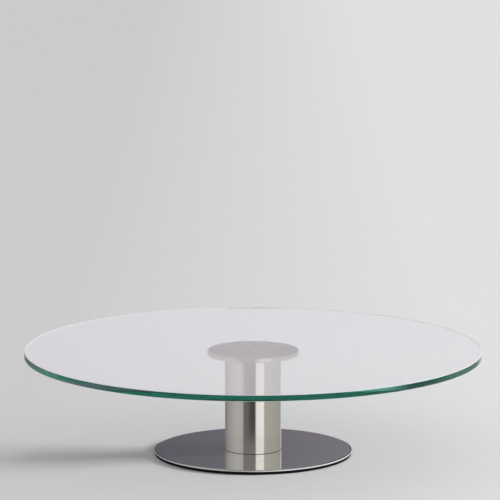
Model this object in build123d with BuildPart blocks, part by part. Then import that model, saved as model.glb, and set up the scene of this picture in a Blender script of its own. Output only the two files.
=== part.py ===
"""Cake turntable: a toughened glass plate that spins on a steel pedestal.

The plate is bonded to a turned mounting disc whose spindle runs in two deep-groove
ball bearings at the top of a tubular column. The column stands on a thin round base
plate with a soft non-slip pad under it. Units are millimetres, +Z is up along the
spin axis, and the origin is the centre of the pad's underside.
"""

import os

from build123d import *

# ---- Overall sizes ----
overall_height = 70.0  # table to the top of the glass
plate_diameter = 300.0
base_diameter = 130.0
column_diameter = 37.0

# ---- Glass plate and the disc it is bonded to ----
plate_thickness = 4.0
plate_arris = 0.2  # ground and polished edge break on both faces
bond_thickness = 0.2
bond_inset = 0.6  # the adhesive stops this far inside the disc's edge
disc_diameter = 60.0
disc_thickness = 3.0
disc_edge_chamfer = 0.6
disc_web = 1.2  # metal left above the blind spindle bore
boss_clearance = 1.0  # radial gap between the disc's boss and the housing bore

# ---- Base ----
base_thickness = 1.0
base_edge_round = 0.3
pad_thickness = 1.9
pad_inset = 0.4  # pad edge inside the base plate's edge
pad_edge_round = 0.3
pad_hole_clearance = 1.2  # radial room round each screw head

# ---- Column ----
column_wall = 1.2
column_edge_break = 0.3
spin_gap = 0.6  # running gap between the column's rim and the disc
foot_plug_height = 8.0
foot_plug_wall = 9.3  # ring of metal round the screwdriver's access hole, tapped for the base screws
plug_edge_break = 0.5

# ---- Bearing housing ----
housing_recess = 0.5  # housing top below the column's rim
bearing_depth = 3.0  # upper bearing below the housing top
shoulder_height = 6.0  # wall between the two bearings
shoulder_width = 2.0  # how far that wall reaches over the outer races
housing_skirt = 2.0  # housing below the lower bearing
housing_edge_break = 0.5

# ---- Ball bearings, standard 8 x 22 x 7 size ----
bearing_bore = 8.0
bearing_outer = 22.0
bearing_width = 7.0
ball_diameter = 3.969
ball_count = 7
ball_clearance = 0.04  # between a ball and the bottom of either groove
groove_ease = 0.0955  # how much rounder than a ball both grooves are, as a radius
groove_depth = 0.54
race_edge_break = 0.3
cage_half_width = 0.9  # radial, either side of the pitch circle
cage_floor = 0.5  # cage ring below the balls
cage_horn = 1.1  # how far the pocket walls rise past the balls' middle
pocket_clearance = 0.12
shield_thickness = 0.3
shield_inset = 0.25  # shield face inside the bearing face
shield_gap = 0.15  # between a shield and the inner race
shield_seat_width = 0.65  # depth of the seat cut for a shield in the outer race

# ---- Spindle and its fastener ----
spindle_inset = 0.5  # spindle end inside the lower bearing
spindle_edge_break = 0.4
seat_height = 0.5  # raised seat that touches only the inner race
seat_width = 2.0  # radial width of what bears on an inner race
spindle_hole_depth = 12.0
spindle_screw_diameter = 4.0
spindle_screw_length = 10.0
spindle_screw_head_diameter = 8.0
spindle_screw_head_height = 3.0
washer_thickness = 1.0
washer_hole_clearance = 0.15

# ---- Base screws ----
base_screw_count = 3
base_screw_diameter = 5.0
base_screw_length = 8.0
base_screw_head_diameter = 9.2
base_screw_recess = 0.1  # head below the base plate's underside
thread_clearance = 0.05
recess_width = 1.1  # cross recess of both kinds of screw
recess_span = 4.4
recess_depth = 1.5

# ---- Levels above the table ----
base_foot = pad_thickness
column_foot = base_foot + base_thickness
plate_foot = overall_height - plate_thickness
disc_top = plate_foot - bond_thickness
disc_foot = disc_top - disc_thickness
column_top = disc_foot - spin_gap
housing_top = column_top - housing_recess
upper_bearing_top = housing_top - bearing_depth
upper_bearing_foot = upper_bearing_top - bearing_width
lower_bearing_top = upper_bearing_foot - shoulder_height
lower_bearing_foot = lower_bearing_top - bearing_width
housing_foot = lower_bearing_foot - housing_skirt
spindle_top = disc_top - disc_web
spindle_foot = lower_bearing_foot + spindle_inset
washer_foot = lower_bearing_foot - washer_thickness

# ---- Radii that several pieces share ----
column_radius = column_diameter / 2
column_bore_radius = column_radius - column_wall
spindle_radius = bearing_bore / 2
bearing_radius = bearing_outer / 2
seat_radius = spindle_radius + seat_width
ball_radius = ball_diameter / 2
groove_radius = ball_radius + groove_ease
pitch_radius = (spindle_radius + bearing_radius) / 2
inner_land_radius = pitch_radius - ball_radius + groove_depth
outer_land_radius = pitch_radius + ball_radius - groove_depth
shield_seat_radius = outer_land_radius + shield_seat_width
base_screw_radius = base_screw_diameter / 2
base_screw_head_radius = base_screw_head_diameter / 2
base_screw_head_height = base_screw_head_radius - base_screw_radius  # 90 degree cone
base_screw_head_foot = base_foot + base_screw_recess
access_radius = column_bore_radius - foot_plug_wall
screw_circle_radius = column_bore_radius - foot_plug_wall / 2  # in the middle of the plug's wall


def section(height):
    """The radial plane with its origin on the axis: local X is radius, local Y is height."""
    return Plane(origin=(0, 0, height), x_dir=(1, 0, 0), z_dir=(0, -1, 0))


def annulus(level, outer_radius, inner_radius):
    """A flat ring at this level, to be extruded upwards."""
    with BuildSketch(Plane.XY.offset(level)) as face:
        Circle(outer_radius)
        Circle(inner_radius, mode=Mode.SUBTRACT)
    return face.sketch


def circles(piece, radius):
    """The circular edges of a piece that have this radius."""
    return piece.edges().filter_by(GeomType.CIRCLE).filter_by(
        lambda edge: abs(edge.radius - radius) < 1e-6
    )


# ---- The plate and what spins with it ----


def make_glass_plate():
    with BuildPart() as plate:
        with BuildSketch(Plane.XY.offset(plate_foot)):
            Circle(plate_diameter / 2)
        extrude(amount=plate_thickness)
        chamfer(plate.edges(), length=plate_arris)
    return plate


def make_bond_film():
    with BuildPart() as film:
        with BuildSketch(Plane.XY.offset(disc_top)):
            Circle(disc_diameter / 2 - bond_inset)
        extrude(amount=bond_thickness)
    return film


def make_mounting_disc():
    """A flange with a boss that drops into the housing, bored blind for the spindle."""
    boss_radius = bearing_radius - boss_clearance
    with BuildPart() as disc:
        with BuildSketch(Plane.XY.offset(disc_foot)):
            Circle(disc_diameter / 2)
        extrude(amount=disc_thickness)
        chamfer(disc.edges().group_by(Axis.Z)[0], length=disc_edge_chamfer)
        with BuildSketch(Plane.XY.offset(upper_bearing_top + seat_height)):
            Circle(boss_radius)
        extrude(until=Until.NEXT)
        with BuildSketch(Plane.XY.offset(upper_bearing_top)):
            Circle(seat_radius)
        extrude(amount=seat_height)
        with BuildSketch(Plane.XY.offset(upper_bearing_top)):
            Circle(spindle_radius)
        extrude(amount=spindle_top - upper_bearing_top, mode=Mode.SUBTRACT)
    return disc


def make_spindle():
    with BuildPart() as spindle:
        with BuildSketch(Plane.XY.offset(spindle_foot)):
            Circle(spindle_radius)
        extrude(amount=spindle_top - spindle_foot)
        chamfer(spindle.edges(), length=spindle_edge_break)
        with BuildSketch(Plane.XY.offset(spindle_foot)):
            Circle(spindle_screw_diameter / 2 + thread_clearance)
        extrude(amount=spindle_hole_depth, mode=Mode.SUBTRACT)
    return spindle


def make_bearing_spacer():
    with BuildPart() as spacer:
        face = annulus(lower_bearing_top, seat_radius, spindle_radius)
        extrude(face, amount=shoulder_height)
    return spacer


def make_spindle_washer():
    hole_radius = spindle_screw_diameter / 2 + washer_hole_clearance
    with BuildPart() as washer:
        extrude(annulus(washer_foot, seat_radius, hole_radius), amount=washer_thickness)
    return washer


def cross_recess(foot):
    """The outline of a screwdriver's cross, to be cut upwards from this level."""
    with BuildSketch(Plane.XY.offset(foot)) as cross:
        Rectangle(recess_span, recess_width)
        Rectangle(recess_width, recess_span)
    return cross.sketch


def make_spindle_screw():
    head_foot = washer_foot - spindle_screw_head_height
    with BuildPart() as screw:
        with BuildSketch(Plane.XY.offset(head_foot)):
            Circle(spindle_screw_head_diameter / 2)
        extrude(amount=spindle_screw_head_height)
        fillet(screw.edges().group_by(Axis.Z)[0], radius=spindle_screw_head_height / 3)
        with BuildSketch(Plane.XY.offset(washer_foot)):
            Circle(spindle_screw_diameter / 2)
        extrude(amount=spindle_screw_length)
        chamfer(screw.edges().group_by(Axis.Z)[-1], length=spindle_edge_break)
        extrude(cross_recess(head_foot), amount=recess_depth, mode=Mode.SUBTRACT)
    return screw


# ---- Ball bearings ----


def race_section(middle, inner_radius, outer_radius, groove_centre):
    """Half the cross-section of a race: a rectangle with a round ball groove in one side."""
    with BuildSketch(section(middle)) as half:
        with Locations(((inner_radius + outer_radius) / 2, 0)):
            Rectangle(outer_radius - inner_radius, bearing_width)
        with Locations((groove_centre, 0)):
            Circle(groove_radius, mode=Mode.SUBTRACT)
    return half.sketch


def make_inner_race(middle):
    groove_centre = pitch_radius - ball_radius - ball_clearance + groove_radius
    with BuildPart() as race:
        half = race_section(middle, spindle_radius, inner_land_radius, groove_centre)
        revolve(half, axis=Axis.Z)
        chamfer(circles(race, spindle_radius), length=race_edge_break)
    return race


def make_outer_race(middle):
    """The outer race also has a seat at each end for its shield."""
    groove_centre = pitch_radius + ball_radius + ball_clearance - groove_radius
    seat_depth = shield_inset + shield_thickness
    with BuildPart() as race:
        half = race_section(middle, outer_land_radius, bearing_radius, groove_centre)
        revolve(half, axis=Axis.Z)
        for end in (-1, 1):
            seat_middle = middle + end * (bearing_width - seat_depth) / 2
            with BuildSketch(Plane.XY.offset(seat_middle)):
                Circle(shield_seat_radius)
            extrude(amount=seat_depth / 2, both=True, mode=Mode.SUBTRACT)
        chamfer(circles(race, bearing_radius), length=race_edge_break)
    return race


def make_balls(middle):
    with BuildPart() as balls:
        with Locations((0, 0, middle)):
            with PolarLocations(pitch_radius, ball_count):
                Sphere(ball_radius)
    return balls


def make_cage(middle):
    """A snap cage: one ring whose round pockets hold the balls and open upwards."""
    cage_foot = middle - ball_radius - cage_floor
    cage_top = middle + cage_horn
    inner_radius = pitch_radius - cage_half_width
    outer_radius = pitch_radius + cage_half_width
    with BuildPart() as cage:
        extrude(annulus(cage_foot, outer_radius, inner_radius), amount=cage_top - cage_foot)
        with Locations((0, 0, middle)):
            with PolarLocations(pitch_radius, ball_count):
                Sphere(ball_radius + pocket_clearance, mode=Mode.SUBTRACT)
    return cage


def make_shields(middle):
    """Two thin rings, fixed in the outer race and just clear of the inner one."""
    face_distance = bearing_width / 2 - shield_inset
    with BuildPart() as shields:
        for foot in (middle - face_distance, middle + face_distance - shield_thickness):
            face = annulus(foot, shield_seat_radius, inner_land_radius + shield_gap)
            extrude(face, amount=shield_thickness)
    return shields


# ---- The pedestal ----


def make_bearing_housing():
    """An insert pressed into the column: two bearing seats with a shoulder between them."""
    with BuildPart() as housing:
        body = annulus(housing_foot, column_bore_radius, bearing_radius)
        extrude(body, amount=housing_top - housing_foot)
        shoulder = annulus(lower_bearing_top, bearing_radius, bearing_radius - shoulder_width)
        extrude(shoulder, amount=shoulder_height)
        ends = housing.edges().group_by(Axis.Z)
        chamfer(ends[0] + ends[-1], length=housing_edge_break)
    return housing


def make_column_tube():
    with BuildPart() as tube:
        wall = annulus(column_foot, column_radius, column_bore_radius)
        extrude(wall, amount=column_top - column_foot)
        chamfer(circles(tube, column_radius), length=column_edge_break)
    return tube


def make_foot_plug():
    """A steel plug fixed in the column's foot and tapped for the base screws."""
    with BuildPart() as plug:
        with BuildSketch(Plane.XY.offset(column_foot)):
            Circle(column_bore_radius)
        extrude(amount=foot_plug_height)
        chamfer(plug.edges().group_by(Axis.Z)[-1], length=plug_edge_break)
        with Locations((0, 0, column_foot)):
            Cylinder(
                access_radius,
                foot_plug_height,
                align=(Align.CENTER, Align.CENTER, Align.MIN),
                mode=Mode.SUBTRACT,
            )
        with BuildSketch(Plane.XY.offset(column_foot)):
            with PolarLocations(screw_circle_radius, base_screw_count):
                Circle(base_screw_radius + thread_clearance)
        extrude(amount=foot_plug_height, mode=Mode.SUBTRACT)
        cut_screw_cones()
    return plug


def cut_screw_cones():
    """Cuts the countersinks that the base screws' heads seat in out of the piece being built."""
    with Locations((0, 0, base_screw_head_foot)):
        with PolarLocations(screw_circle_radius, base_screw_count):
            Cone(
                base_screw_head_radius,
                base_screw_radius,
                base_screw_head_height,
                align=(Align.CENTER, Align.CENTER, Align.MIN),
                mode=Mode.SUBTRACT,
            )


def make_base_plate():
    with BuildPart() as plate:
        with BuildSketch(Plane.XY.offset(base_foot)):
            Circle(base_diameter / 2)
        extrude(amount=base_thickness)
        rims = circles(plate, base_diameter / 2)
        fillet(rims, radius=min(base_edge_round, base_thickness / 3))
        with BuildSketch(Plane.XY.offset(base_foot)):
            with PolarLocations(screw_circle_radius, base_screw_count):
                Circle(base_screw_head_radius)
        extrude(amount=base_screw_recess, mode=Mode.SUBTRACT)
        with BuildSketch(Plane.XY.offset(base_foot)):
            with PolarLocations(screw_circle_radius, base_screw_count):
                Circle(base_screw_radius + thread_clearance)
        extrude(amount=base_thickness, mode=Mode.SUBTRACT)
        cut_screw_cones()
    return plate


def make_base_screws():
    """Countersunk screws that hold the base plate to the foot plug."""
    standing = (Align.CENTER, Align.CENTER, Align.MIN)
    with BuildPart() as screws:
        with Locations((0, 0, base_screw_head_foot)):
            with PolarLocations(screw_circle_radius, base_screw_count):
                Cone(
                    base_screw_head_radius,
                    base_screw_radius,
                    base_screw_head_height,
                    align=standing,
                )
                Cylinder(base_screw_radius, base_screw_length, align=standing)
                add(
                    extrude(cross_recess(0), amount=recess_depth, mode=Mode.PRIVATE),
                    mode=Mode.SUBTRACT,
                )
    return screws


def make_base_pad():
    """A soft disc under the base plate, with a hole below each screw."""
    with BuildPart() as pad:
        with BuildSketch():
            Circle(base_diameter / 2 - pad_inset)
        extrude(amount=pad_thickness)
        fillet(pad.edges().group_by(Axis.Z)[0], radius=min(pad_edge_round, pad_thickness / 2))
        with BuildSketch():
            with PolarLocations(screw_circle_radius, base_screw_count):
                Circle(base_screw_head_radius + pad_hole_clearance)
        extrude(amount=pad_thickness, mode=Mode.SUBTRACT)
    return pad


pieces = {
    "glass_plate": make_glass_plate(),
    "bond_film": make_bond_film(),
    "mounting_disc": make_mounting_disc(),
    "spindle": make_spindle(),
    "bearing_spacer": make_bearing_spacer(),
    "spindle_washer": make_spindle_washer(),
    "spindle_screw": make_spindle_screw(),
    "bearing_housing": make_bearing_housing(),
    "column_tube": make_column_tube(),
    "foot_plug": make_foot_plug(),
    "base_plate": make_base_plate(),
    "base_screws": make_base_screws(),
    "base_pad": make_base_pad(),
}
bearing_feet = {"upper": upper_bearing_foot, "lower": lower_bearing_foot}
for place, foot in bearing_feet.items():
    middle = foot + bearing_width / 2
    pieces[f"{place}_inner_race"] = make_inner_race(middle)
    pieces[f"{place}_outer_race"] = make_outer_race(middle)
    pieces[f"{place}_balls"] = make_balls(middle)
    pieces[f"{place}_cage"] = make_cage(middle)
    pieces[f"{place}_shields"] = make_shields(middle)

os.makedirs("parts", exist_ok=True)
for name, piece in pieces.items():
    piece.part.label = name
    export_step(piece.part, f"parts/{name}.step")
    print(name, round(piece.part.volume, 1))
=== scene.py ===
"""The finished look of a cake turntable: clear glass plate, brushed steel pedestal, foam pad.

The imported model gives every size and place. Each operator makes one piece or one group of like
pieces around it, gives it its material and lets it ride on its body. Lengths are in metres and
+Z is up along the spin axis.
"""

import math

import bmesh
import bpy
from bpy.props import FloatProperty, FloatVectorProperty, IntProperty, PointerProperty
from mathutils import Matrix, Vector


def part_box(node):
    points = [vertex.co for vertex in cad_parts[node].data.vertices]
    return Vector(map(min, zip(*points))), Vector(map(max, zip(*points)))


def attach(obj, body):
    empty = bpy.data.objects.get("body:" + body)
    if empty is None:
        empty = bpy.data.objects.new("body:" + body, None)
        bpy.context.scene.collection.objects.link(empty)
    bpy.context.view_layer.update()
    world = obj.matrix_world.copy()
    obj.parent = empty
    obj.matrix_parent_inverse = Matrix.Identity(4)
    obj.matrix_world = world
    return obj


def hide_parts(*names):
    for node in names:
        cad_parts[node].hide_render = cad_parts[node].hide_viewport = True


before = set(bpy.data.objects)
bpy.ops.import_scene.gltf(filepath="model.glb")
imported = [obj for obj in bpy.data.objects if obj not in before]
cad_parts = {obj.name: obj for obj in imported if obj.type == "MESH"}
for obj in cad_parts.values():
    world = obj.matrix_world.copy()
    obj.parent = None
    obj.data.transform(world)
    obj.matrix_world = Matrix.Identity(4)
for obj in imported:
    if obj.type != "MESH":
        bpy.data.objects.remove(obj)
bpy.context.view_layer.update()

bl_info = {
    "name": "Cake Turntable",
    "version": (1, 0, 0),
    "blender": (4, 5, 0),
    "location": "3D Viewport > Sidebar > Turntable",
    "description": "Glass cake turntable on a steel pedestal, piece by piece",
    "category": "Object",
}

MM = 0.001
TOUCH = 1e-6  # two places closer than this are the same place
SEAM_SHADE = (0.04, 0.04, 0.04, 1.0)  # painted shade in the seam where the column stands on the base
SMALL_ROUND = 0.1 * MM  # rounding on corners that nobody looks at closely
HOLE_STEPS = 64  # straight steps round a screw hole
CUT_MARGIN = 0.5 * MM  # how far a cutter sticks out of what it cuts
SMOOTH_BELOW = math.radians(35)  # corners sharper than this stay sharp


# ---- Settings that a user would change ----


def length(name, description, default):
    """A length in metres, set with a slider."""
    return FloatProperty(
        name=name, description=description, default=default, min=0.0, precision=5, unit="LENGTH"
    )


def colour(name, description, default):
    return FloatVectorProperty(
        name=name, description=description, default=default, min=0.0, max=1.0, size=3, subtype="COLOR"
    )


def number(name, description, default, top=10.0):
    return FloatProperty(
        name=name, description=description, default=default, min=0.0, max=top, precision=3
    )


def angle(name, description, degrees):
    return FloatProperty(
        name=name, description=description, default=math.radians(degrees), unit="ROTATION"
    )


class TurntableSizes(bpy.types.PropertyGroup):
    """Edge details of the turned and ground pieces."""

    around: IntProperty(
        name="Steps Around", description="Straight steps in each full circle", default=512, min=32
    )
    glass_arris: length("Glass Arris", "Width of the ground edge break on the glass", 0.2 * MM)
    glass_ease: length("Glass Ease", "Rounding where the arris meets the flats", 0.03 * MM)
    film_lap: length("Film Lap", "How far the adhesive wets into the faces it joins", 0.02 * MM)
    disc_chamfer: length("Disc Chamfer", "Edge break under the mounting disc", 0.6 * MM)
    disc_ease: length("Disc Ease", "Rounding on the mounting disc's top rim", 0.2 * MM)
    column_wall: length("Column Wall", "Thickness of the column's tube", 1.2 * MM)
    column_ease: length("Column Ease", "Rounding on the column's rims", 0.3 * MM)
    seam: length("Seam", "Height of the dark line round the column's foot", 0.2 * MM)
    base_round: length("Base Round", "Rounding on the base plate's rims", 0.2 * MM)
    base_shoulder: length("Base Shoulder", "Width of the turned-down border on the base plate", 1.4 * MM)
    base_fall: length("Base Fall", "How far that border falls towards the rim", 0.1 * MM)
    pad_round: length("Pad Round", "Rounding on the pad's lower rim", 0.3 * MM)


class TurntableColours(bpy.types.PropertyGroup):
    """Colours and finishes."""

    glass_absorbed: colour("Glass Tint", "Colour left after light crosses the glass", (0.24, 0.66, 0.58))
    glass_depth: number("Glass Depth", "How strongly the glass tints, per metre", 17.0, 100.0)
    arris: colour("Ground Arris", "Colour of the ground edge break", (0.93, 0.95, 0.95))
    brushed: colour("Brushed Steel", "Colour of the column", (0.66, 0.643, 0.60))
    polished: colour("Polished Steel", "Colour of the base plate", (0.86, 0.85, 0.86))
    rim: colour("Satin Rim", "Colour of the base plate's rim", (0.95, 0.95, 0.95))
    turned: colour("Turned Steel", "Colour of the mounting disc, spacer and plug", (0.62, 0.61, 0.59))
    zinc: colour("Zinc", "Colour of the screws and the washer", (0.66, 0.68, 0.70))
    aluminium: colour("Aluminium", "Colour of the bearing housing", (0.74, 0.74, 0.75))
    bearing: colour("Bearing Steel", "Colour of the races, balls and shields", (0.70, 0.70, 0.71))
    nylon: colour("Nylon", "Colour of the ball cages", (0.80, 0.75, 0.62))
    foam: colour("Foam", "Colour of the pad", (0.008, 0.008, 0.009))


class TurntableStage(bpy.types.PropertyGroup):
    """Floor, light and camera."""

    # Painted shade: the floor is given a darker colour on the left.
    floor_shaded_left: colour("Floor Left", "Colour of the pale floor on the left", (0.62, 0.62, 0.62))
    floor_right: colour("Floor Right", "Colour of the pale floor on the right", (0.79, 0.79, 0.79))
    light: colour("Soft Light", "Colour of the soft light all round", (1.0, 1.0, 1.0))
    light_strength: number("Soft Light Strength", "Brightness of the soft light all round", 0.58)
    sky: colour("Surround", "Colour of the bright surround, as reflected", (0.93, 0.84, 0.92))
    sky_strength: number("Surround Strength", "Brightness of that surround", 1.0)
    ring_left: colour("Ring Left", "Left side of the dark ring round the turntable", (0.09, 0.086, 0.106))
    ring_right: colour("Ring Right", "Right side of the dark ring", (0.172, 0.163, 0.184))
    lamp_strength: number("Lamp Strength", "Brightness of the large lamp on the right", 3.7)
    lamp_softness: angle("Lamp Softness", "How wide the large lamp is", 22.0)
    lamp_height: angle("Lamp Height", "Height of the large lamp above the floor", 20.0)
    lamp_side: angle("Lamp Side", "How far round to the right the large lamp stands", 96.0)
    camera_left: length("Camera Left", "How far left of the spin axis the camera stands", 2.1 * MM)
    camera_back: length("Camera Distance", "From the spin axis to the camera", 2.2587)
    camera_height: length("Camera Height", "From the floor to the camera", 0.5115)
    camera_tilt: angle("Camera Tilt", "How far the camera looks down", 9.45)
    camera_lens: number("Camera Lens", "Focal length in millimetres", 252.3, 1000.0)


# ---- Modelling by hand ----


def begin_slab(name, radius, foot, top):
    """A closed round slab between two levels, left in edit mode with nothing selected."""
    bpy.ops.object.select_all(action="DESELECT")
    bpy.ops.mesh.primitive_cylinder_add(
        vertices=bpy.context.scene.turntable_sizes.around,
        radius=radius,
        depth=top - foot,
        location=(0, 0, (foot + top) / 2),
    )
    piece = bpy.context.object
    piece.name = name
    piece.data.name = name
    bpy.ops.object.transform_apply(location=True, rotation=True, scale=True)
    bpy.ops.object.mode_set(mode="EDIT")
    bpy.ops.mesh.select_all(action="DESELECT")
    return piece


def select_only(kind, wanted):
    """Selects the edges or faces that the test wants, and nothing else."""
    bpy.ops.mesh.select_mode(type=kind)
    bpy.ops.mesh.select_all(action="DESELECT")
    mesh = bpy.context.object.data
    shape = bmesh.from_edit_mesh(mesh)
    for part in shape.edges if kind == "EDGE" else shape.faces:
        if wanted(part):
            part.select_set(True)
    shape.select_flush_mode()
    bmesh.update_edit_mesh(mesh)


def select_rims(*rims):
    """Selects the circles at these radii and levels."""

    def on_a_rim(edge):
        return any(
            all(
                abs(math.hypot(v.co.x, v.co.y) - radius) < TOUCH and abs(v.co.z - level) < TOUCH
                for v in edge.verts
            )
            for radius, level in rims
        )

    select_only("EDGE", on_a_rim)


def select_end(level):
    """Selects the flat end faces at this level that cover the axis."""
    select_only(
        "FACE",
        lambda face: all(abs(v.co.z - level) < TOUCH for v in face.verts)
        and face.calc_center_median().xy.length < TOUCH,
    )


def round_rims(width, steps, *rims):
    """Rounds these circles in a number of steps. A single step makes a flat break."""
    select_rims(*rims)
    bpy.ops.mesh.bevel(offset=width, offset_type="OFFSET", segments=steps, affect="EDGES")


def step_end(level, inset, rise):
    """Insets the end face at this level and pushes its middle up or down. Returns the new level."""
    select_end(level)
    bpy.ops.mesh.inset(thickness=inset)
    bpy.ops.mesh.extrude_region_move(TRANSFORM_OT_translate={"value": (0, 0, rise)})
    return level + rise


def end_piece(piece):
    """Leaves edit mode, with the normals outward and smooth except at sharp corners."""
    bpy.ops.mesh.select_mode(type="FACE")
    bpy.ops.mesh.select_all(action="SELECT")
    bpy.ops.mesh.normals_make_consistent(inside=False)
    bpy.ops.mesh.select_all(action="DESELECT")
    bpy.ops.object.mode_set(mode="OBJECT")
    smooth_piece(piece)
    return piece


def smooth_piece(piece):
    """Shades the piece smooth except at its sharp corners."""
    bpy.ops.object.select_all(action="DESELECT")
    bpy.context.view_layer.objects.active = piece
    piece.select_set(True)
    bpy.ops.object.shade_smooth_by_angle(angle=SMOOTH_BELOW)
    even = piece.modifiers.new("Even Normals", "WEIGHTED_NORMAL")
    even.keep_sharp = True
    bpy.ops.object.modifier_apply(modifier=even.name)


def cut(piece, *cutters):
    """Cuts these shapes out of the piece and removes them."""
    bpy.context.view_layer.objects.active = piece
    for cutter in cutters:
        hole = piece.modifiers.new("Hole", "BOOLEAN")
        hole.operation = "DIFFERENCE"
        hole.solver = "EXACT"
        hole.object = cutter
        bpy.ops.object.modifier_apply(modifier=hole.name)
        bpy.data.objects.remove(cutter)


def upright_cutter(spot, foot_radius, top_radius, foot, top):
    """A round or tapered cutter standing between two levels."""
    bpy.ops.object.select_all(action="DESELECT")
    bpy.ops.mesh.primitive_cone_add(
        vertices=HOLE_STEPS,
        radius1=foot_radius,
        radius2=top_radius,
        depth=top - foot,
        location=(spot[0], spot[1], (foot + top) / 2),
    )
    return bpy.context.object


def screw_pattern():
    """The places of the three base screws, and the radius of their heads."""
    low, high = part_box("base_screws")
    # One screw stands on +X and the other two at half that distance on the other side.
    circle = 2 * (high.x + low.x)
    head_radius = high.x - circle
    turns = [math.radians(120 * k) for k in range(3)]
    return [(circle * math.cos(t), circle * math.sin(t)) for t in turns], head_radius


def cad_radii(node, level):
    """Radii of a CAD node's corners at this level, smallest first."""
    found = {
        round(math.hypot(v.co.x, v.co.y), 5)
        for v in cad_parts[node].data.vertices
        if abs(v.co.z - level) < 0.01 * MM
    }
    return sorted(found)


# ---- Material building ----


def add_node(tree, kind, spot, inputs=None, **settings):
    """Adds a node in a column and row of the tree. An input is a value or the socket to link."""
    made = tree.nodes.new(kind)
    made.location = (spot[0] * 220, spot[1] * -220)
    for name, value in settings.items():
        setattr(made, name, value)
    for name, value in (inputs or {}).items():
        if isinstance(value, bpy.types.NodeSocket):
            tree.links.new(value, made.inputs[name])
        else:
            made.inputs[name].default_value = value
    return made


def math_node(tree, spot, operation, first, second=0.0):
    return add_node(tree, "ShaderNodeMath", spot, {0: first, 1: second}, operation=operation).outputs[0]


def begin_group(name, inputs, outputs):
    """A shader node group with number or vector sockets: (name, kind, default)."""
    group = bpy.data.node_groups.new(name, "ShaderNodeTree")
    for label, kind, default in inputs:
        socket = group.interface.new_socket(label, in_out="INPUT", socket_type=kind)
        if default is not None:
            socket.default_value = default
    for label in outputs:
        group.interface.new_socket(label, in_out="OUTPUT", socket_type="NodeSocketFloat")
    enter = add_node(group, "NodeGroupInput", (-5, 0))
    leave = add_node(group, "NodeGroupOutput", (5, 0))
    return group, enter, leave


def make_lathe_marks():
    """Fine lines that run round the spin axis, on flat faces and on walls alike."""
    group, enter, leave = begin_group(
        "Lathe Marks",
        [
            ("Vector", "NodeSocketVector", None),
            ("Line Width", "NodeSocketFloat", 0.0003),
            ("Streaks", "NodeSocketFloat", 2.0),
        ],
        ["Height", "Tone"],
    )
    parts = add_node(group, "ShaderNodeSeparateXYZ", (-4, 0), {0: enter.outputs["Vector"]})
    x, y, z = parts.outputs
    squares = math_node(
        group, (-3, -1), "ADD",
        math_node(group, (-4, -2), "MULTIPLY", x, x),
        math_node(group, (-4, -3), "MULTIPLY", y, y),
    )
    radius = math_node(group, (-2, -1), "SQRT", squares)
    safe = math_node(group, (-2, -2), "MAXIMUM", radius, 1e-5)
    across = math_node(group, (-1, -1), "ADD", radius, z)
    lines = math_node(group, (0, -1), "DIVIDE", across, enter.outputs["Line Width"])
    turn_x = math_node(group, (-1, 1), "DIVIDE", x, safe)
    turn_y = math_node(group, (-1, 2), "DIVIDE", y, safe)
    long_x = math_node(group, (0, 1), "MULTIPLY", turn_x, enter.outputs["Streaks"])
    long_y = math_node(group, (0, 2), "MULTIPLY", turn_y, enter.outputs["Streaks"])
    spread = add_node(group, "ShaderNodeCombineXYZ", (1, 0), {0: long_x, 1: long_y, 2: lines})
    fine = add_node(
        group, "ShaderNodeTexNoise", (2, 0), {"Vector": spread.outputs[0], "Scale": 1.0, "Detail": 3.0}
    )
    broad = add_node(
        group, "ShaderNodeTexNoise", (2, 1), {"Vector": spread.outputs[0], "Scale": 0.12, "Detail": 2.0}
    )
    group.links.new(fine.outputs[0], leave.inputs["Height"])
    group.links.new(broad.outputs[0], leave.inputs["Tone"])
    return group


def make_smudges():
    """Soft patches left by wiping and handling, from 0 to 1."""
    group, enter, leave = begin_group(
        "Smudges",
        [("Vector", "NodeSocketVector", None), ("Scale", "NodeSocketFloat", 20.0)],
        ["Mask"],
    )
    patches = add_node(
        group, "ShaderNodeTexNoise", (-2, 0),
        {"Vector": enter.outputs["Vector"], "Scale": enter.outputs["Scale"], "Detail": 4.0},
    )
    shaped = add_node(
        group, "ShaderNodeMapRange", (0, 0),
        {"Value": patches.outputs[0], "From Min": 0.35, "From Max": 0.75},
        interpolation_type="SMOOTHSTEP",
    )
    group.links.new(shaped.outputs[0], leave.inputs["Mask"])
    return group


def make_foam_cells():
    """Small closed cells of dense foam rubber."""
    group, enter, leave = begin_group(
        "Foam Cells",
        [("Vector", "NodeSocketVector", None), ("Cell Size", "NodeSocketFloat", 0.0006)],
        ["Height", "Mask"],
    )
    scale = math_node(group, (-3, 1), "DIVIDE", 1.0, enter.outputs["Cell Size"])
    cells = add_node(
        group, "ShaderNodeTexVoronoi", (-2, 0), {"Vector": enter.outputs["Vector"], "Scale": scale}
    )
    skin = add_node(
        group, "ShaderNodeTexNoise", (-2, 2),
        {"Vector": enter.outputs["Vector"], "Scale": 60.0, "Detail": 4.0},
    )
    group.links.new(cells.outputs["Distance"], leave.inputs["Height"])
    group.links.new(skin.outputs[0], leave.inputs["Mask"])
    return group


def shared_group(name):
    """The group of this name, built the first time that it is asked for."""
    makers = {"Lathe Marks": make_lathe_marks, "Smudges": make_smudges, "Foam Cells": make_foam_cells}
    return bpy.data.node_groups.get(name) or makers[name]()


def use_group(tree, name, spot, inputs):
    """Places a shared group in a tree, with its own values."""
    made = add_node(tree, "ShaderNodeGroup", spot, node_tree=shared_group(name))
    for label, value in inputs.items():
        if isinstance(value, bpy.types.NodeSocket):
            tree.links.new(value, made.inputs[label])
        else:
            made.inputs[label].default_value = value
    return made


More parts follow.
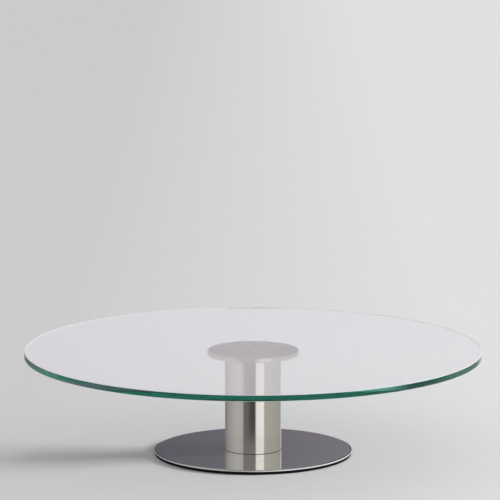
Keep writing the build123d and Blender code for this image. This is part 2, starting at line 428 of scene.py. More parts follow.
def begin_material(name, **shader_values):
    """A material with its own Principled shader.

    Returns the material, its tree, the shader and the socket with the place on the object.
    """
    material = bpy.data.materials.new(name)
    material.use_nodes = True
    tree = material.node_tree
    tree.nodes.clear()
    output = add_node(tree, "ShaderNodeOutputMaterial", (4, 0))
    shader = add_node(tree, "ShaderNodeBsdfPrincipled", (2, 0))
    tree.links.new(shader.outputs[0], output.inputs["Surface"])
    for label, value in shader_values.items():
        shader.inputs[label.replace("_", " ")].default_value = value
    place = add_node(tree, "ShaderNodeTexCoord", (-4, 0)).outputs["Object"]
    return material, tree, shader, place


def tone_between(tree, spot, mask, dark, light):
    """A colour between two, by a mask."""
    mixed = add_node(tree, "ShaderNodeMix", spot, data_type="RGBA")
    tree.links.new(mask, mixed.inputs[0])
    mixed.inputs[6].default_value = dark
    mixed.inputs[7].default_value = light
    return mixed.outputs[2]


def value_between(tree, spot, mask, low, high):
    """A number between two, by a mask from 0 to 1."""
    return add_node(
        tree, "ShaderNodeMapRange", spot, {"Value": mask, "To Min": low, "To Max": high}
    ).outputs[0]


def shaded(base, factor):
    """A colour made darker or lighter, as four numbers."""
    return tuple(min(1.0, c * factor) for c in base) + (1.0,)


def band_mask(tree, spot, value, start, end):
    """1 where the value in metres lies between start and end, with soft ends, and 0 elsewhere."""
    soft = 0.04 * MM
    rise = add_node(
        tree, "ShaderNodeMapRange", spot, {"Value": value, "From Min": start - soft, "From Max": start}
    ).outputs[0]
    fall = add_node(
        tree, "ShaderNodeMapRange", (spot[0], spot[1] + 1),
        {"Value": value, "From Min": end + soft, "From Max": end},
    ).outputs[0]
    return math_node(tree, (spot[0] + 1, spot[1]), "MULTIPLY", rise, fall)


def darken(tree, spot, shader, mask, colour_left):
    """Mixes this colour over what the shader's Base Color is linked to, by a mask."""
    link = shader.inputs["Base Color"].links[0]
    before = link.from_socket
    over = add_node(tree, "ShaderNodeMix", spot, data_type="RGBA")
    tree.links.new(mask, over.inputs[0])
    tree.links.new(before, over.inputs[6])
    over.inputs[7].default_value = colour_left
    tree.links.new(over.outputs[2], shader.inputs["Base Color"])


def radius_of(tree, spot, place):
    """Distance from the spin axis, and height."""
    parts = add_node(tree, "ShaderNodeSeparateXYZ", spot, {0: place})
    flat = add_node(
        tree, "ShaderNodeCombineXYZ", (spot[0] + 1, spot[1]), {0: parts.outputs[0], 1: parts.outputs[1]}
    )
    out = add_node(
        tree, "ShaderNodeVectorMath", (spot[0] + 2, spot[1]), {0: flat.outputs[0]}, operation="LENGTH"
    )
    return out.outputs["Value"], parts.outputs[2]


def lathe_metal(name, base, line_width, roughness, depth, grain=0.0, contrast=0.06, streaks=2.0):
    """A metal with lathe or brush marks round the axis, in its colour, its gloss and its relief."""
    material, tree, shader, place = begin_material(
        name, Metallic=1.0, Anisotropic=grain, Anisotropic_Rotation=0.25 if grain else 0.0
    )
    marks = use_group(
        tree, "Lathe Marks", (-2, 0), {"Vector": place, "Line Width": line_width, "Streaks": streaks}
    )
    smudges = use_group(tree, "Smudges", (-2, 2), {"Vector": place, "Scale": 45.0})
    tone = tone_between(
        tree, (0, -1), marks.outputs["Tone"], shaded(base, 1 - contrast), shaded(base, 1 + contrast)
    )
    tree.links.new(tone, shader.inputs["Base Color"])
    worn = value_between(tree, (0, 1), smudges.outputs["Mask"], roughness * 0.96, roughness * 1.06)
    tree.links.new(worn, shader.inputs["Roughness"])
    relief = add_node(
        tree, "ShaderNodeBump", (0, 2),
        {"Strength": 0.5, "Distance": depth, "Height": marks.outputs["Height"]},
    )
    tree.links.new(relief.outputs[0], shader.inputs["Normal"])
    return material


def finish_with(piece, material, slot, body, *nodes):
    """Gives a new piece its material and its body, and hides the CAD nodes that it stands for. The slot is
    not used.
    """
    piece.data.materials.clear()
    piece.data.materials.append(material)
    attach(piece, body)
    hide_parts(*nodes)


def refinish(node, material):
    """Gives a CAD node that keeps its shape a finished material."""
    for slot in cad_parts[node].material_slots:
        slot.material = material


# ---- Operators: one for each piece or group of like pieces ----


class TURNTABLE_OT_camera(bpy.types.Operator):
    """Stand the camera in front of the turntable, looking slightly down"""

    bl_idname = "turntable.camera"
    bl_label = "Camera"

    def execute(self, context):
        stage = context.scene.turntable_stage
        data = bpy.data.cameras.new("camera")
        data.sensor_width = 36
        data.lens = stage.camera_lens
        data.clip_end = 100
        camera = bpy.data.objects.new("camera", data)
        context.scene.collection.objects.link(camera)
        camera.location = (-stage.camera_left, -stage.camera_back, stage.camera_height)
        camera.rotation_euler = (math.pi / 2 - stage.camera_tilt, 0, 0)
        context.scene.camera = camera
        return {"FINISHED"}


class TURNTABLE_OT_stage(bpy.types.Operator):
    """Lay a pale floor and light it softly from all round and from the right"""

    bl_idname = "turntable.stage"
    bl_label = "Stage"

    # What polished metal sees below the horizon, all round the turntable: degrees round from the
    # front, brightness, warmth. The black flag and the strip lamp stand side by side in front.
    strips = (
        (-180, 0.20, 0.0),
        (-150, 0.25, 0.0),
        (-135, 0.33, 0.0),
        (-117, 0.44, 0.0),
        (-90, 0.53, 0.1),
        (-69, 0.61, 0.2),
        (-43, 0.56, 0.3),
        (-39, 0.17, 0.3),
        (-24, 0.16, 0.3),
        (-9, 0.065, 0.3),
        (8, 0.07, 0.3),
        (12.5, 1.16, 0.0),
        (43, 1.28, 0.0),
        (47, 0.56, 0.6),
        (78, 0.55, 1.0),
        (101, 0.51, 0.9),
        (132, 0.47, 0.4),
        (150, 0.38, 0.0),
        (160, 0.80, 0.0),
        (172, 0.80, 0.0),
        (177, 0.22, 0.0),
    )
    # What polished metal and glass see above the horizon: sine of the height, brightness.
    heights = ((0.0, 0.7), (0.13, 0.7), (0.165, 1.0), (0.212, 1.0), (0.242, 0.12), (0.8, 0.12), (0.92, 1.0))
    # What the plate's edge gathers from behind, all round: degrees round from the front, brightness
    # and redness. Red light makes up for the long way through green glass.
    glints = (
        (-180, 0.5, 0.3),
        (-175, 0.7, 0.3),
        (-172, 3.6, 0.5),
        (-155, 3.6, 0.7),
        (-149, 0.9, 0.7),
        (-100, 0.5, 0.0),
        (-92, 3.0, 0.5),
        (-82, 3.0, 0.5),
        (-74, 0.5, 0.0),
        (-30, 0.5, 0.0),
        (-20, 3.0, 0.5),
        (-10, 3.0, 0.5),
        (-2, 0.5, 0.0),
        (44, 0.5, 0.0),
        (52, 3.0, 0.5),
        (62, 3.0, 0.5),
        (70, 0.5, 0.0),
        (105, 0.8, 0.5),
        (118, 1.8, 1.0),
        (132, 2.4, 1.0),
        (154, 2.2, 1.0),
        (163, 1.4, 1.0),
        (171, 0.8, 0.9),
        (176, 0.5, 0.5),
    )
    strip_peak = 1.3  # no strip is brighter
    strip_plain = (1.0, 1.0, 1.0)
    strip_warm = (1.0, 0.98, 0.87)
    strip_fill = (0.21, 0.20, 0.185)  # the least that the strips give to light that the base sends up
    glint_peak = 4.0  # no glint is brighter
    glint_plain = (1.0, 0.80, 0.86)
    glint_red = (1.0, 0.26, 0.38)
    floor_width = 80
    floor_drop = 0.05 * MM  # keeps the floor clear of the pad's underside
    # Painted shade darkens the floor towards the left.
    floor_fade = 0.16  # the floor brightens from left to right over twice this width
    floor_share = 0.97  # how nearly the floor reaches its two colours
    floor_patches = 0.03
    ring_steps = 128
    ring_radius = 0.25
    ring_foot = 0.041
    ring_top = 0.083
    ring_fade = 0.08  # the ring changes colour over twice this width
    bounces = 64  # light crosses the plate from edge to edge by bouncing between its two faces

    def execute(self, context):
        stage = context.scene.turntable_stage
        self.lay_floor(stage)
        self.stand_ring(stage)
        self.hang_lamp(context.scene, stage)
        self.wrap_surround(context.scene, stage)
        scene = context.scene
        scene.view_settings.view_transform = "Standard"
        scene.cycles.max_bounces = self.bounces
        scene.cycles.glossy_bounces = self.bounces
        scene.cycles.transmission_bounces = self.bounces
        return {"FINISHED"}

    def lay_floor(self, stage):
        """A large pale floor, with painted shade that darkens it towards the left."""
        bpy.ops.object.select_all(action="DESELECT")
        bpy.ops.mesh.primitive_plane_add(size=self.floor_width, location=(0, 0, -self.floor_drop))
        floor = bpy.context.object
        floor.name = "floor"
        material, tree, shader, place = begin_material("pale_floor", Roughness=0.85)
        shader.inputs["Specular IOR Level"].default_value = 0.2
        patches = use_group(tree, "Smudges", (-2, 0), {"Vector": place, "Scale": 70.0})
        across = add_node(tree, "ShaderNodeSeparateXYZ", (-3, 2), {0: place}).outputs["X"]
        side = add_node(
            tree, "ShaderNodeMapRange", (-2, 2),
            {
                "Value": across,
                "From Min": -self.floor_fade,
                "From Max": self.floor_fade,
                "To Min": 1 - self.floor_share,
                "To Max": self.floor_share,
            },
        ).outputs[0]
        uneven = value_between(
            tree, (-1, 1), patches.outputs["Mask"], -self.floor_patches, self.floor_patches
        )
        side = math_node(tree, (-1, 2), "ADD", side, uneven)
        # Painted shade: darker floor colour on the left, lighter on the right.
        tone = tone_between(tree, (0, 0), side, shaded(stage.floor_shaded_left, 1), shaded(stage.floor_right, 1))
        tree.links.new(tone, shader.inputs["Base Color"])
        floor.data.materials.append(material)
        floor.visible_glossy = False

    def stand_ring(self, stage):
        """A dark ring round the turntable, which only its polished base reflects."""
        bpy.ops.object.select_all(action="DESELECT")
        bpy.ops.mesh.primitive_cylinder_add(
            vertices=self.ring_steps,
            radius=self.ring_radius,
            depth=self.ring_top - self.ring_foot,
            end_fill_type="NOTHING",
            location=(0, 0, (self.ring_top + self.ring_foot) / 2),
        )
        ring = bpy.context.object
        ring.name = "dark_ring"
        bpy.ops.object.transform_apply(location=True, rotation=True, scale=True)
        material, tree, shader, place = begin_material("dark_ring", Roughness=1.0)
        shader.inputs["Base Color"].default_value = (0, 0, 0, 1)
        shader.inputs["Specular IOR Level"].default_value = 0.0
        across = add_node(tree, "ShaderNodeSeparateXYZ", (-2, 0), {0: place}).outputs["X"]
        side = add_node(
            tree, "ShaderNodeMapRange", (-1, 0),
            {"Value": across, "From Min": -self.ring_fade, "From Max": self.ring_fade},
        ).outputs[0]
        glow = tone_between(tree, (0, 0), side, shaded(stage.ring_left, 1), shaded(stage.ring_right, 1))
        tree.links.new(glow, shader.inputs["Emission Color"])
        shader.inputs["Emission Strength"].default_value = 1.0
        # The column, seen in the base or reflecting it, looks straight through the ring.
        path = add_node(tree, "ShaderNodeLightPath", (-1, 2))
        once = math_node(tree, (0, 2), "LESS_THAN", path.outputs["Glossy Depth"], 1.5)
        tree.links.new(once, shader.inputs["Alpha"])
        ring.data.materials.append(material)
        ring.visible_camera = False
        ring.visible_diffuse = False
        ring.visible_transmission = False
        ring.visible_volume_scatter = False
        ring.visible_shadow = False

    def hang_lamp(self, scene, stage):
        """A large soft lamp low on the right, which mirrors and glass do not show."""
        data = bpy.data.lights.new("large_lamp", "SUN")
        data.energy = stage.lamp_strength
        data.angle = stage.lamp_softness
        lamp = bpy.data.objects.new("large_lamp", data)
        scene.collection.objects.link(lamp)
        lamp.rotation_euler = (math.pi / 2 - stage.lamp_height, 0, stage.lamp_side)
        lamp.visible_glossy = False
        lamp.visible_transmission = False

    def wrap_surround(self, scene, stage):
        """Soft even light all round, and what metal, glass faces and the plate's edge see of it."""
        world = bpy.data.worlds.new("soft_surround")
        scene.world = world
        world.use_nodes = True
        tree = world.node_tree
        tree.nodes.clear()
        output = add_node(tree, "ShaderNodeOutputWorld", (6, 0))
        direction = add_node(tree, "ShaderNodeTexCoord", (-5, 0)).outputs["Generated"]
        x, y, z = add_node(tree, "ShaderNodeSeparateXYZ", (-4, 0), {0: direction}).outputs
        toward_front = math_node(tree, (-3, 1), "MULTIPLY", y, -1.0)
        turn = math_node(tree, (-2, 1), "ARCTAN2", x, toward_front)
        share = add_node(
            tree, "ShaderNodeMapRange", (-1, 1), {"Value": turn, "From Min": -math.pi, "From Max": math.pi}
        ).outputs[0]
        path = add_node(tree, "ShaderNodeLightPath", (-3, 5))
        plain = self.background(tree, (2, 3), shaded(stage.light, 1), stage.light_strength)
        mirrored = self.mirrored_light(tree, stage, path, share, z)
        through = self.light_through_glass(tree, path, share, z, plain)
        reflected = add_node(
            tree, "ShaderNodeMixShader", (4, 1), {0: path.outputs["Is Glossy Ray"], 1: plain, 2: mirrored}
        )
        mixed = add_node(
            tree, "ShaderNodeMixShader", (5, 1),
            {0: path.outputs["Is Transmission Ray"], 1: reflected.outputs[0], 2: through},
        )
        tree.links.new(mixed.outputs[0], output.inputs["Surface"])

    def mirrored_light(self, tree, stage, path, share, z):
        """What metal and glass faces reflect: the strips below the horizon and the sky above it."""
        strips = self.ring_of_light(
            tree, (0, 1), share, self.strips, self.strip_plain, self.strip_warm, self.strip_peak
        )
        above = add_node(
            tree, "ShaderNodeMapRange", (-1, 2), {"Value": z, "From Min": -0.01, "From Max": 0.01}
        ).outputs[0]
        filled = add_node(tree, "ShaderNodeMix", (1, 1), data_type="RGBA", blend_type="LIGHTEN")
        tree.links.new(above, filled.inputs[0])
        tree.links.new(strips, filled.inputs[6])
        filled.inputs[7].default_value = shaded(self.strip_fill, 1 / self.strip_peak)
        low = self.background(tree, (2, 1), filled.outputs[2], self.strip_peak)
        stops = [(height, shaded(stage.sky, level)) for height, level in self.heights]
        sky = self.fill_ramp(tree, (0, 2), z, stops)
        high = self.background(tree, (2, 2), sky, stage.sky_strength)
        # Metal that is itself seen in the base's mirror shows the strips too.
        first = math_node(tree, (0, 6), "LESS_THAN", path.outputs["Glossy Depth"], 1.5)
        overhead = math_node(tree, (0, 7), "GREATER_THAN", z, 0.9)
        open_sky = math_node(tree, (1, 7), "MAXIMUM", first, overhead)
        sky_share = math_node(tree, (1, 6), "MULTIPLY", above, open_sky)
        return add_node(tree, "ShaderNodeMixShader", (3, 1), {0: sky_share, 1: low, 2: high}).outputs[0]

    def light_through_glass(self, tree, path, share, z, plain):
        """The plain light, with glints in the light that leaves by the plate's edge."""
        glints = self.ring_of_light(
            tree, (0, 4), share, self.glints, self.glint_plain, self.glint_red, self.glint_peak
        )
        glint = self.background(tree, (2, 4), glints, self.glint_peak)
        upward = add_node(
            tree, "ShaderNodeMapRange", (1, 5), {"Value": z, "From Min": 0.10, "From Max": 0.14}
        ).outputs[0]
        # Only light that enters by the plate's edge, bounces between its faces and leaves by its edge.
        still = math_node(tree, (0, 8), "LESS_THAN", path.outputs["Diffuse Depth"], 0.5)
        twice = math_node(tree, (0, 9), "LESS_THAN", path.outputs["Transmission Depth"], 2.5)
        direct = math_node(tree, (1, 8), "MULTIPLY", still, twice)
        bounced = math_node(tree, (1, 9), "GREATER_THAN", path.outputs["Glossy Depth"], 4.5)
        crossed = math_node(tree, (1, 10), "MULTIPLY", direct, bounced)
        piped = math_node(tree, (2, 8), "MULTIPLY", upward, crossed)
        return add_node(tree, "ShaderNodeMixShader", (3, 4), {0: piped, 1: plain, 2: glint}).outputs[0]

    def ring_of_light(self, tree, spot, share, rows, plain, tinted, peak):
        """Colours all round the turntable: each row's brightness, as a share of the peak, and tint."""
        stops = []
        for degrees, brightness, amount in rows:
            tint = [p + amount * (t - p) for p, t in zip(plain, tinted)]
            stops.append((degrees / 360 + 0.5, shaded(tint, brightness / peak)))
        return self.fill_ramp(tree, spot, share, stops)

    def fill_ramp(self, tree, spot, factor, stops):
        """A colour ramp with these stops: place from 0 to 1, colour."""
        ramp = add_node(tree, "ShaderNodeValToRGB", spot, {0: factor})
        elements = ramp.color_ramp.elements
        while len(elements) < len(stops):
            elements.new(0.5)
        for element, (position, value) in zip(elements, stops):
            element.position = position
            element.color = value
        return ramp.outputs[0]

    def background(self, tree, spot, sent, strength):
        """Light of this colour and strength from all round."""
        made = add_node(tree, "ShaderNodeBackground", spot, {"Color": sent, "Strength": strength})
        return made.outputs[0]


class TURNTABLE_OT_glass_plate(bpy.types.Operator):
    """Make the glass plate with its ground and polished edge, and the film that bonds it"""

    bl_idname = "turntable.glass_plate"
    bl_label = "Glass Plate"

    def execute(self, context):
        sizes = context.scene.turntable_sizes
        self.make_plate(sizes)
        self.make_film(sizes)
        return {"FINISHED"}

    def make_plate(self, sizes):
        low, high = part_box("glass_plate")
        radius = high.x
        plate = begin_slab("clear_plate", radius, low.z, high.z)
        round_rims(sizes.glass_arris, 1, (radius, low.z), (radius, high.z))
        flat = radius - sizes.glass_arris
        corners = [
            (flat, low.z),
            (radius, low.z + sizes.glass_arris),
            (radius, high.z - sizes.glass_arris),
            (flat, high.z),
        ]
        round_rims(sizes.glass_ease, 3, *corners)
        end_piece(plate)
        plate.visible_shadow = False
        finish_with(plate, self.glass(), "plate_glass", "plate", "glass_plate")
        plate.data.materials.append(self.ground_glass())
        self.grind_arris(plate, flat, (low.z + high.z) / 2, (high.z - low.z) / 2 - sizes.glass_arris)

    def grind_arris(self, plate, flat, middle, half_wall):
        """Gives the breaks above and below the polished edge the second material."""
        bpy.context.view_layer.objects.active = plate
        bpy.ops.object.mode_set(mode="EDIT")

        def on_an_arris(face):
            centre = face.calc_center_median()
            return centre.xy.length > flat and abs(centre.z - middle) > half_wall

        select_only("FACE", on_an_arris)
        plate.active_material_index = 1
        bpy.ops.object.material_slot_assign()
        bpy.ops.mesh.select_all(action="DESELECT")
        bpy.ops.object.mode_set(mode="OBJECT")

    def make_film(self, sizes):
        low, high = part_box("bond_film")
        foot = low.z - sizes.film_lap
        top = high.z + sizes.film_lap
        meniscus = (high.z - low.z) * 0.3
        film = begin_slab("adhesive_film", high.x, foot, top)
        round_rims(meniscus, 2, (high.x, foot), (high.x, top))
        end_piece(film)
        film.visible_shadow = False
        finish_with(film, self.adhesive(), "clear_adhesive", "plate", "bond_film")

    def glass(self):
        colours = bpy.context.scene.turntable_colours
        material, tree, shader, place = begin_material(
            "clear_glass", Transmission_Weight=1.0, IOR=1.52, Roughness=0.0
        )
        shader.inputs["Base Color"].default_value = (1, 1, 1, 1)
        tint = add_node(
            tree, "ShaderNodeVolumeAbsorption", (2, 3),
            {"Color": tuple(colours.glass_absorbed) + (1,), "Density": colours.glass_depth},
        )
        output = next(n for n in tree.nodes if n.type == "OUTPUT_MATERIAL")
        tree.links.new(tint.outputs[0], output.inputs["Volume"])
        marks = use_group(
            tree, "Lathe Marks", (-2, 0), {"Vector": place, "Line Width": 0.12 * MM, "Streaks": 40.0}
        )
        edge = self.edge_mask(tree, place)
        polish = value_between(tree, (0, 1), marks.outputs["Tone"], 0.0, 0.05)
        rough = math_node(tree, (1, 1), "MULTIPLY", edge, polish)
        tree.links.new(rough, shader.inputs["Roughness"])
        return material

    def edge_mask(self, tree, place):
        """Where the plate's edge has been ground and polished."""
        edge_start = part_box("glass_plate")[1].x - bpy.context.scene.turntable_sizes.glass_arris
        soft = 0.05 * MM
        out, _ = radius_of(tree, (-3, 3), place)
        return add_node(
            tree, "ShaderNodeMapRange", (0, 3),
            {"Value": out, "From Min": edge_start - soft, "From Max": edge_start},
        ).outputs[0]

    def ground_glass(self):
        """The matt white break between the plate's faces and its polished edge."""
        colours = bpy.context.scene.turntable_colours
        material, tree, shader, place = begin_material("ground_glass", Roughness=0.5)
        marks = use_group(
            tree, "Lathe Marks", (-2, 0), {"Vector": place, "Line Width": 0.1 * MM, "Streaks": 60.0}
        )
        tone = tone_between(
            tree, (0, -1), marks.outputs["Tone"], shaded(colours.arris, 0.94), shaded(colours.arris, 1.06)
        )
        tree.links.new(tone, shader.inputs["Base Color"])
        return material

    def adhesive(self):
        material, tree, shader, place = begin_material(
            "clear_adhesive", Transmission_Weight=1.0, IOR=1.5, Roughness=0.0
        )
        patches = use_group(tree, "Smudges", (-2, 0), {"Vector": place, "Scale": 120.0})
        tone = tone_between(
            tree, (0, 0), patches.outputs["Mask"], (0.985, 0.99, 0.985, 1), (1.0, 1.0, 1.0, 1)
        )
        tree.links.new(tone, shader.inputs["Base Color"])
        return material


class TURNTABLE_OT_mounting_disc(bpy.types.Operator):
    """Make the turned disc under the glass, with the boss that drops into the housing"""

    bl_idname = "turntable.mounting_disc"
    bl_label = "Mounting Disc"

    def execute(self, context):
        sizes = context.scene.turntable_sizes
        low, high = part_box("mounting_disc")
        seat_radius = cad_radii("mounting_disc", low.z)[-1]
        bore_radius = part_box("spindle")[1].x
        bore_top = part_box("spindle")[1].z
        boss_levels = sorted({round(v.co.z, 5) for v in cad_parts["mounting_disc"].data.vertices})
        boss_foot = boss_levels[1]
        disc_foot = boss_levels[2]
        boss_radius = cad_radii("mounting_disc", boss_foot)[-1]
        radius = high.x
        disc = begin_slab("turned_disc", radius, disc_foot, high.z)
        step_end(disc_foot, radius - boss_radius, boss_foot - disc_foot)
        step_end(boss_foot, boss_radius - seat_radius, low.z - boss_foot)
        step_end(low.z, seat_radius - bore_radius, bore_top - low.z)
        round_rims(sizes.disc_chamfer, 1, (radius, disc_foot))
        inner = radius - sizes.disc_chamfer
        outer = disc_foot + sizes.disc_chamfer
        round_rims(SMALL_ROUND, 3, (inner, disc_foot), (radius, outer))
        round_rims(sizes.disc_ease, 3, (radius, high.z), (boss_radius, boss_foot))
        end_piece(disc)
        colours = context.scene.turntable_colours
        steel = lathe_metal(
            "turned_steel", colours.turned, 0.35 * MM, 0.28, 0.001 * MM, grain=0.6, contrast=0.03
        )
        finish_with(disc, steel, "turned_steel", "plate", "mounting_disc")
        return {"FINISHED"}


class TURNTABLE_OT_column(bpy.types.Operator):
    """Make the brushed tube that the plate spins on"""

    bl_idname = "turntable.column"
    bl_label = "Column"

    def execute(self, context):
        sizes = context.scene.turntable_sizes
        low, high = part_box("column_tube")
        radius = high.x
        bore = radius - sizes.column_wall
        column = begin_slab("brushed_column", radius, low.z, high.z)
        select_only("FACE", lambda face: abs(face.normal.z) > 0.5)
        bpy.ops.mesh.inset(thickness=sizes.column_wall)
        bpy.ops.mesh.bridge_edge_loops()
        round_rims(sizes.column_ease, 4, (radius, low.z), (radius, high.z))
        round_rims(SMALL_ROUND, 2, (bore, low.z), (bore, high.z))
        end_piece(column)
        finish_with(column, self.steel(), "brushed_steel", "pedestal", "column_tube")
        return {"FINISHED"}

    def steel(self):
        """Brushed round the tube, with a painted dark line of shade round its foot, where it stands on the
        base.
        """
        colours = bpy.context.scene.turntable_colours
        seam = bpy.context.scene.turntable_sizes.seam
        material = lathe_metal(
            "brushed_steel", colours.brushed, 0.22 * MM, 0.16, 0.003 * MM, grain=0.9, contrast=0.05
        )
        tree = material.node_tree
        shader = tree.nodes["Principled BSDF"]
        place = next(n for n in tree.nodes if n.type == "TEX_COORD").outputs["Object"]
        _, height = radius_of(tree, (-3, 6), place)
        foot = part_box("column_tube")[0].z
        # Painted shade: a dark band round the column's foot, where it meets the base.
        darken(tree, (1, -2), shader, band_mask(tree, (-1, 7), height, foot - seam, foot + seam), SEAM_SHADE)
        return material


class TURNTABLE_OT_base_plate(bpy.types.Operator):
    """Make the thin polished base plate with its three countersunk holes"""

    bl_idname = "turntable.base_plate"
    bl_label = "Base Plate"

    def execute(self, context):
        sizes = context.scene.turntable_sizes
        low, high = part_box("base_plate")
        radius = high.x
        plate = begin_slab("polished_base", radius, low.z, high.z)
        # Polishing turns the top down a little towards its rim.
        select_end(high.z)
        bpy.ops.mesh.inset(thickness=sizes.base_shoulder)
        select_rims((radius, high.z))
        bpy.ops.transform.translate(value=(0, 0, -sizes.base_fall))
        rim = high.z - sizes.base_fall
        shoulder_round = sizes.base_shoulder * 0.4
        round_rims(shoulder_round, 4, (radius - sizes.base_shoulder, high.z))
        round_rims(sizes.base_round, 5, (radius, low.z), (radius, rim))
        end_piece(plate)
        spots, head_radius = screw_pattern()
        head_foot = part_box("base_screws")[0].z
        cone_top = high.z + CUT_MARGIN
        taper = head_radius - (cone_top - head_foot)
        for spot in spots:
            recess = upright_cutter(spot, head_radius, head_radius, low.z - CUT_MARGIN, head_foot)
            cone = upright_cutter(spot, head_radius, taper, head_foot, cone_top)
            cut(plate, recess, cone)
        smooth_piece(plate)
        finish_with(plate, self.steel(radius), "polished_steel", "pedestal", "base_plate")
        return {"FINISHED"}

    def steel(self, radius):
        """Mirror polished on top, with a bright satin rim, a painted dark reflection line inside the rim
        and painted shade round the column's foot.
        """
        colours = bpy.context.scene.turntable_colours
        material, tree, shader, place = begin_material("polished_steel")
        marks = use_group(
            tree, "Lathe Marks", (-2, 0), {"Vector": place, "Line Width": 0.5 * MM, "Streaks": 3.0}
        )
        smudges = use_group(tree, "Smudges", (-2, 2), {"Vector": place, "Scale": 30.0})
        out, _ = radius_of(tree, (-3, 4), place)
        rim_start = radius - 0.06 * MM
        rim_full = radius - 0.02 * MM
        rim = add_node(
            tree, "ShaderNodeMapRange", (0, 4), {"Value": out, "From Min": rim_start, "From Max": rim_full}
        ).outputs[0]
        dark, light = shaded(colours.polished, 0.96), shaded(colours.polished, 1.04)
        tone = tone_between(tree, (0, -1), marks.outputs["Tone"], dark, light)
        both = add_node(tree, "ShaderNodeMix", (1, -1), data_type="RGBA")
        tree.links.new(rim, both.inputs[0])
        tree.links.new(tone, both.inputs[6])
        both.inputs[7].default_value = shaded(colours.rim, 1)
        tree.links.new(both.outputs[2], shader.inputs["Base Color"])
        # Painted shade: a dark ring on the base round the column's foot.
        seam = bpy.context.scene.turntable_sizes.seam
        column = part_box("column_tube")[1].x
        darken(tree, (1, -2), shader, band_mask(tree, (-1, 6), out, column - seam, column + seam), SEAM_SHADE)
        # A painted dark line inside the rim stands for the dark reflection in the rounded border between
        # the mirror and the rim.
        border_start = radius - 0.8 * MM
        border_end = radius - 0.04 * MM
        painted_dark_line = band_mask(tree, (-1, 8), out, border_start, border_end)
        darken(tree, (1, -3), shader, painted_dark_line, shaded(colours.rim, 0.25))
        polish = value_between(tree, (0, 2), smudges.outputs["Mask"], 0.02, 0.04)
        rough = add_node(tree, "ShaderNodeMix", (1, 2), {0: rim, 2: polish, 3: 0.42}).outputs[0]
        tree.links.new(rough, shader.inputs["Roughness"])
        tree.links.new(value_between(tree, (1, 4), rim, 0.95, 0.4), shader.inputs["Metallic"])
        return material


class TURNTABLE_OT_base_pad(bpy.types.Operator):
    """Make the soft black pad that keeps the base from sliding"""

    bl_idname = "turntable.base_pad"
    bl_label = "Base Pad"

    def execute(self, context):
        sizes = context.scene.turntable_sizes
        low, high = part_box("base_pad")
        radius = high.x
        top_round = 0.12 * MM
        hole_room = 1.2 * MM
        pad = begin_slab("foam_pad", radius, low.z, high.z)
        round_rims(sizes.pad_round, 4, (radius, low.z))
        round_rims(top_round, 2, (radius, high.z))
        end_piece(pad)
        spots, head_radius = screw_pattern()
        hole_radius = head_radius + hole_room
        foot = low.z - CUT_MARGIN
        top = high.z + CUT_MARGIN
        cut(pad, *[upright_cutter(spot, hole_radius, hole_radius, foot, top) for spot in spots])
        smooth_piece(pad)
        finish_with(pad, self.foam(), "black_foam", "pedestal", "base_pad")
        return {"FINISHED"}

    def foam(self):
        colours = bpy.context.scene.turntable_colours
        material, tree, shader, place = begin_material("black_foam", Roughness=0.85)
        shader.inputs["Specular IOR Level"].default_value = 0.12
        cells = use_group(tree, "Foam Cells", (-2, 0), {"Vector": place, "Cell Size": 0.5 * MM})
        tone = tone_between(
            tree, (0, -1), cells.outputs["Mask"], shaded(colours.foam, 0.7), shaded(colours.foam, 1.5)
        )
        tree.links.new(tone, shader.inputs["Base Color"])
        relief = add_node(
            tree, "ShaderNodeBump", (0, 2),
            {"Strength": 0.7, "Distance": 0.12 * MM, "Height": cells.outputs["Height"]},
        )
        tree.links.new(relief.outputs[0], shader.inputs["Normal"])
        return material


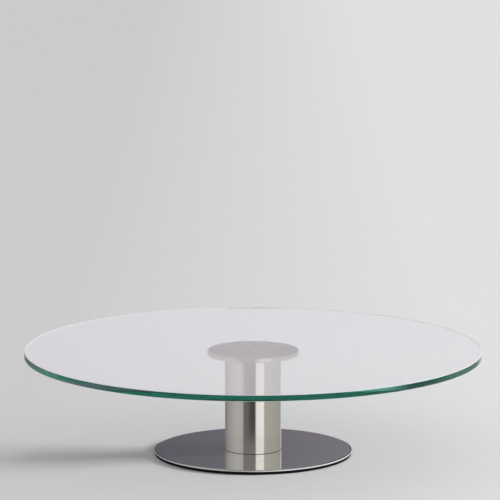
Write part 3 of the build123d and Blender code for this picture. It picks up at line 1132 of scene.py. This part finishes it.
class TURNTABLE_OT_inner_works(bpy.types.Operator):
    """Finish the bearings, spindle, housing, plug and screws inside the column"""

    bl_idname = "turntable.inner_works"
    bl_label = "Inner Works"

    def execute(self, context):
        colours = context.scene.turntable_colours
        turned = bpy.data.materials["turned_steel"]
        ground = lathe_metal("ground_steel", colours.turned, 0.12 * MM, 0.18, 0.001 * MM)
        zinc = lathe_metal("zinc_steel", colours.zinc, 0.4 * MM, 0.32, 0.003 * MM)
        aluminium = lathe_metal("turned_aluminium", colours.aluminium, 0.3 * MM, 0.30, 0.005 * MM)
        bearing = lathe_metal("bearing_steel", colours.bearing, 0.1 * MM, 0.10, 0.0006 * MM)
        nylon = self.nylon(colours)
        for node in ("bearing_spacer", "foot_plug"):
            refinish(node, turned)
        refinish("spindle", ground)
        for node in ("spindle_washer", "spindle_screw", "base_screws"):
            refinish(node, zinc)
        refinish("bearing_housing", aluminium)
        for place in ("upper", "lower"):
            for kind in ("inner_race", "outer_race", "balls", "shields"):
                refinish(f"{place}_{kind}", bearing)
            refinish(f"{place}_cage", nylon)
        return {"FINISHED"}

    def nylon(self, colours):
        material, tree, shader, place = begin_material("cage_nylon", Roughness=0.5)
        flow = use_group(tree, "Smudges", (-2, 0), {"Vector": place, "Scale": 300.0})
        tone = tone_between(
            tree, (0, 0), flow.outputs["Mask"], shaded(colours.nylon, 0.94), shaded(colours.nylon, 1.04)
        )
        tree.links.new(tone, shader.inputs["Base Color"])
        return material


class TURNTABLE_PT_panel(bpy.types.Panel):
    """Lists the operators and their settings"""

    bl_idname = "TURNTABLE_PT_panel"
    bl_label = "Cake Turntable"
    bl_space_type = "VIEW_3D"
    bl_region_type = "UI"
    bl_category = "Turntable"

    def draw(self, context):
        layout = self.layout
        scene = context.scene
        for title, group in (
            ("Sizes", scene.turntable_sizes),
            ("Colours", scene.turntable_colours),
            ("Stage", scene.turntable_stage),
        ):
            box = layout.box()
            box.label(text=title)
            for name in group.__annotations__:
                box.prop(group, name)
        for operator in operators:
            layout.operator(operator.bl_idname)


operators = (
    TURNTABLE_OT_camera,
    TURNTABLE_OT_stage,
    TURNTABLE_OT_glass_plate,
    TURNTABLE_OT_mounting_disc,
    TURNTABLE_OT_column,
    TURNTABLE_OT_base_plate,
    TURNTABLE_OT_base_pad,
    TURNTABLE_OT_inner_works,
)
classes = (TurntableSizes, TurntableColours, TurntableStage, *operators, TURNTABLE_PT_panel)


def register():
    for item in classes:
        bpy.utils.register_class(item)
    bpy.types.Scene.turntable_sizes = PointerProperty(type=TurntableSizes)
    bpy.types.Scene.turntable_colours = PointerProperty(type=TurntableColours)
    bpy.types.Scene.turntable_stage = PointerProperty(type=TurntableStage)


def unregister():
    del bpy.types.Scene.turntable_stage
    del bpy.types.Scene.turntable_colours
    del bpy.types.Scene.turntable_sizes
    for item in reversed(classes):
        bpy.utils.unregister_class(item)


def main():
    register()
    bpy.ops.turntable.camera()
    bpy.ops.turntable.stage()
    bpy.ops.turntable.glass_plate()
    bpy.ops.turntable.mounting_disc()
    bpy.ops.turntable.column()
    bpy.ops.turntable.base_plate()
    bpy.ops.turntable.base_pad()
    bpy.ops.turntable.inner_works()


if __name__ == "__main__":
    main()
